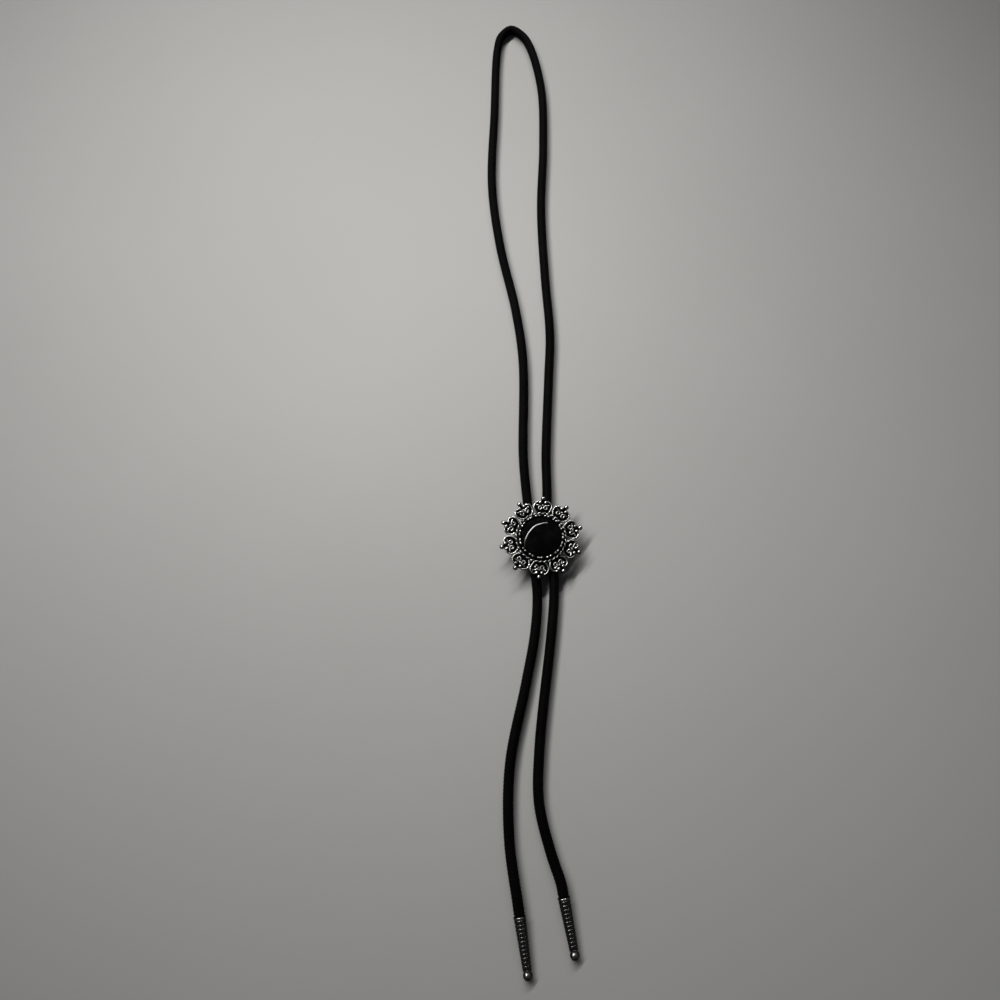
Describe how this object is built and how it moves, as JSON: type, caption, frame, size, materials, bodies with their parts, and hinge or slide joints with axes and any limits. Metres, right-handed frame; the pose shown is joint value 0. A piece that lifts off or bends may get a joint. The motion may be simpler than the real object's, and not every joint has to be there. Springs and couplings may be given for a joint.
{
  "type": "bolo tie",
  "caption": "Bolo tie laid flat: a black braided cord with silver tips, held by a round slide of raised scrollwork petals set with a low black stone.",
  "frame": {"origin": "centre of the flat back of the clip, under the centre of the slide's stone, on the surface that the tie lies on", "axes": "+Z out of the slide's front, +Y along the clip's channels towards the neck loop, +X to the right seen from the front"},
  "size_m": [0.06, 0.5022, 0.0106],
  "materials": {
    "cord_black": "fine round braid of black leather-like strands, satin",
    "antique_silver": "antiqued silver plate: polished high spots over blackened recesses",
    "black_stone": "polished black stone cut as a low dome, glassy",
    "plain_steel": "plain nickel-coloured metal, satin"
  },
  "bodies": {
    "root": {"cord": "cord_black", "tip_left": "antique_silver", "tip_right": "antique_silver", "slide_frame": "antique_silver", "stone": "black_stone", "cord_clip": "plain_steel"}
  },
  "joints": []
}
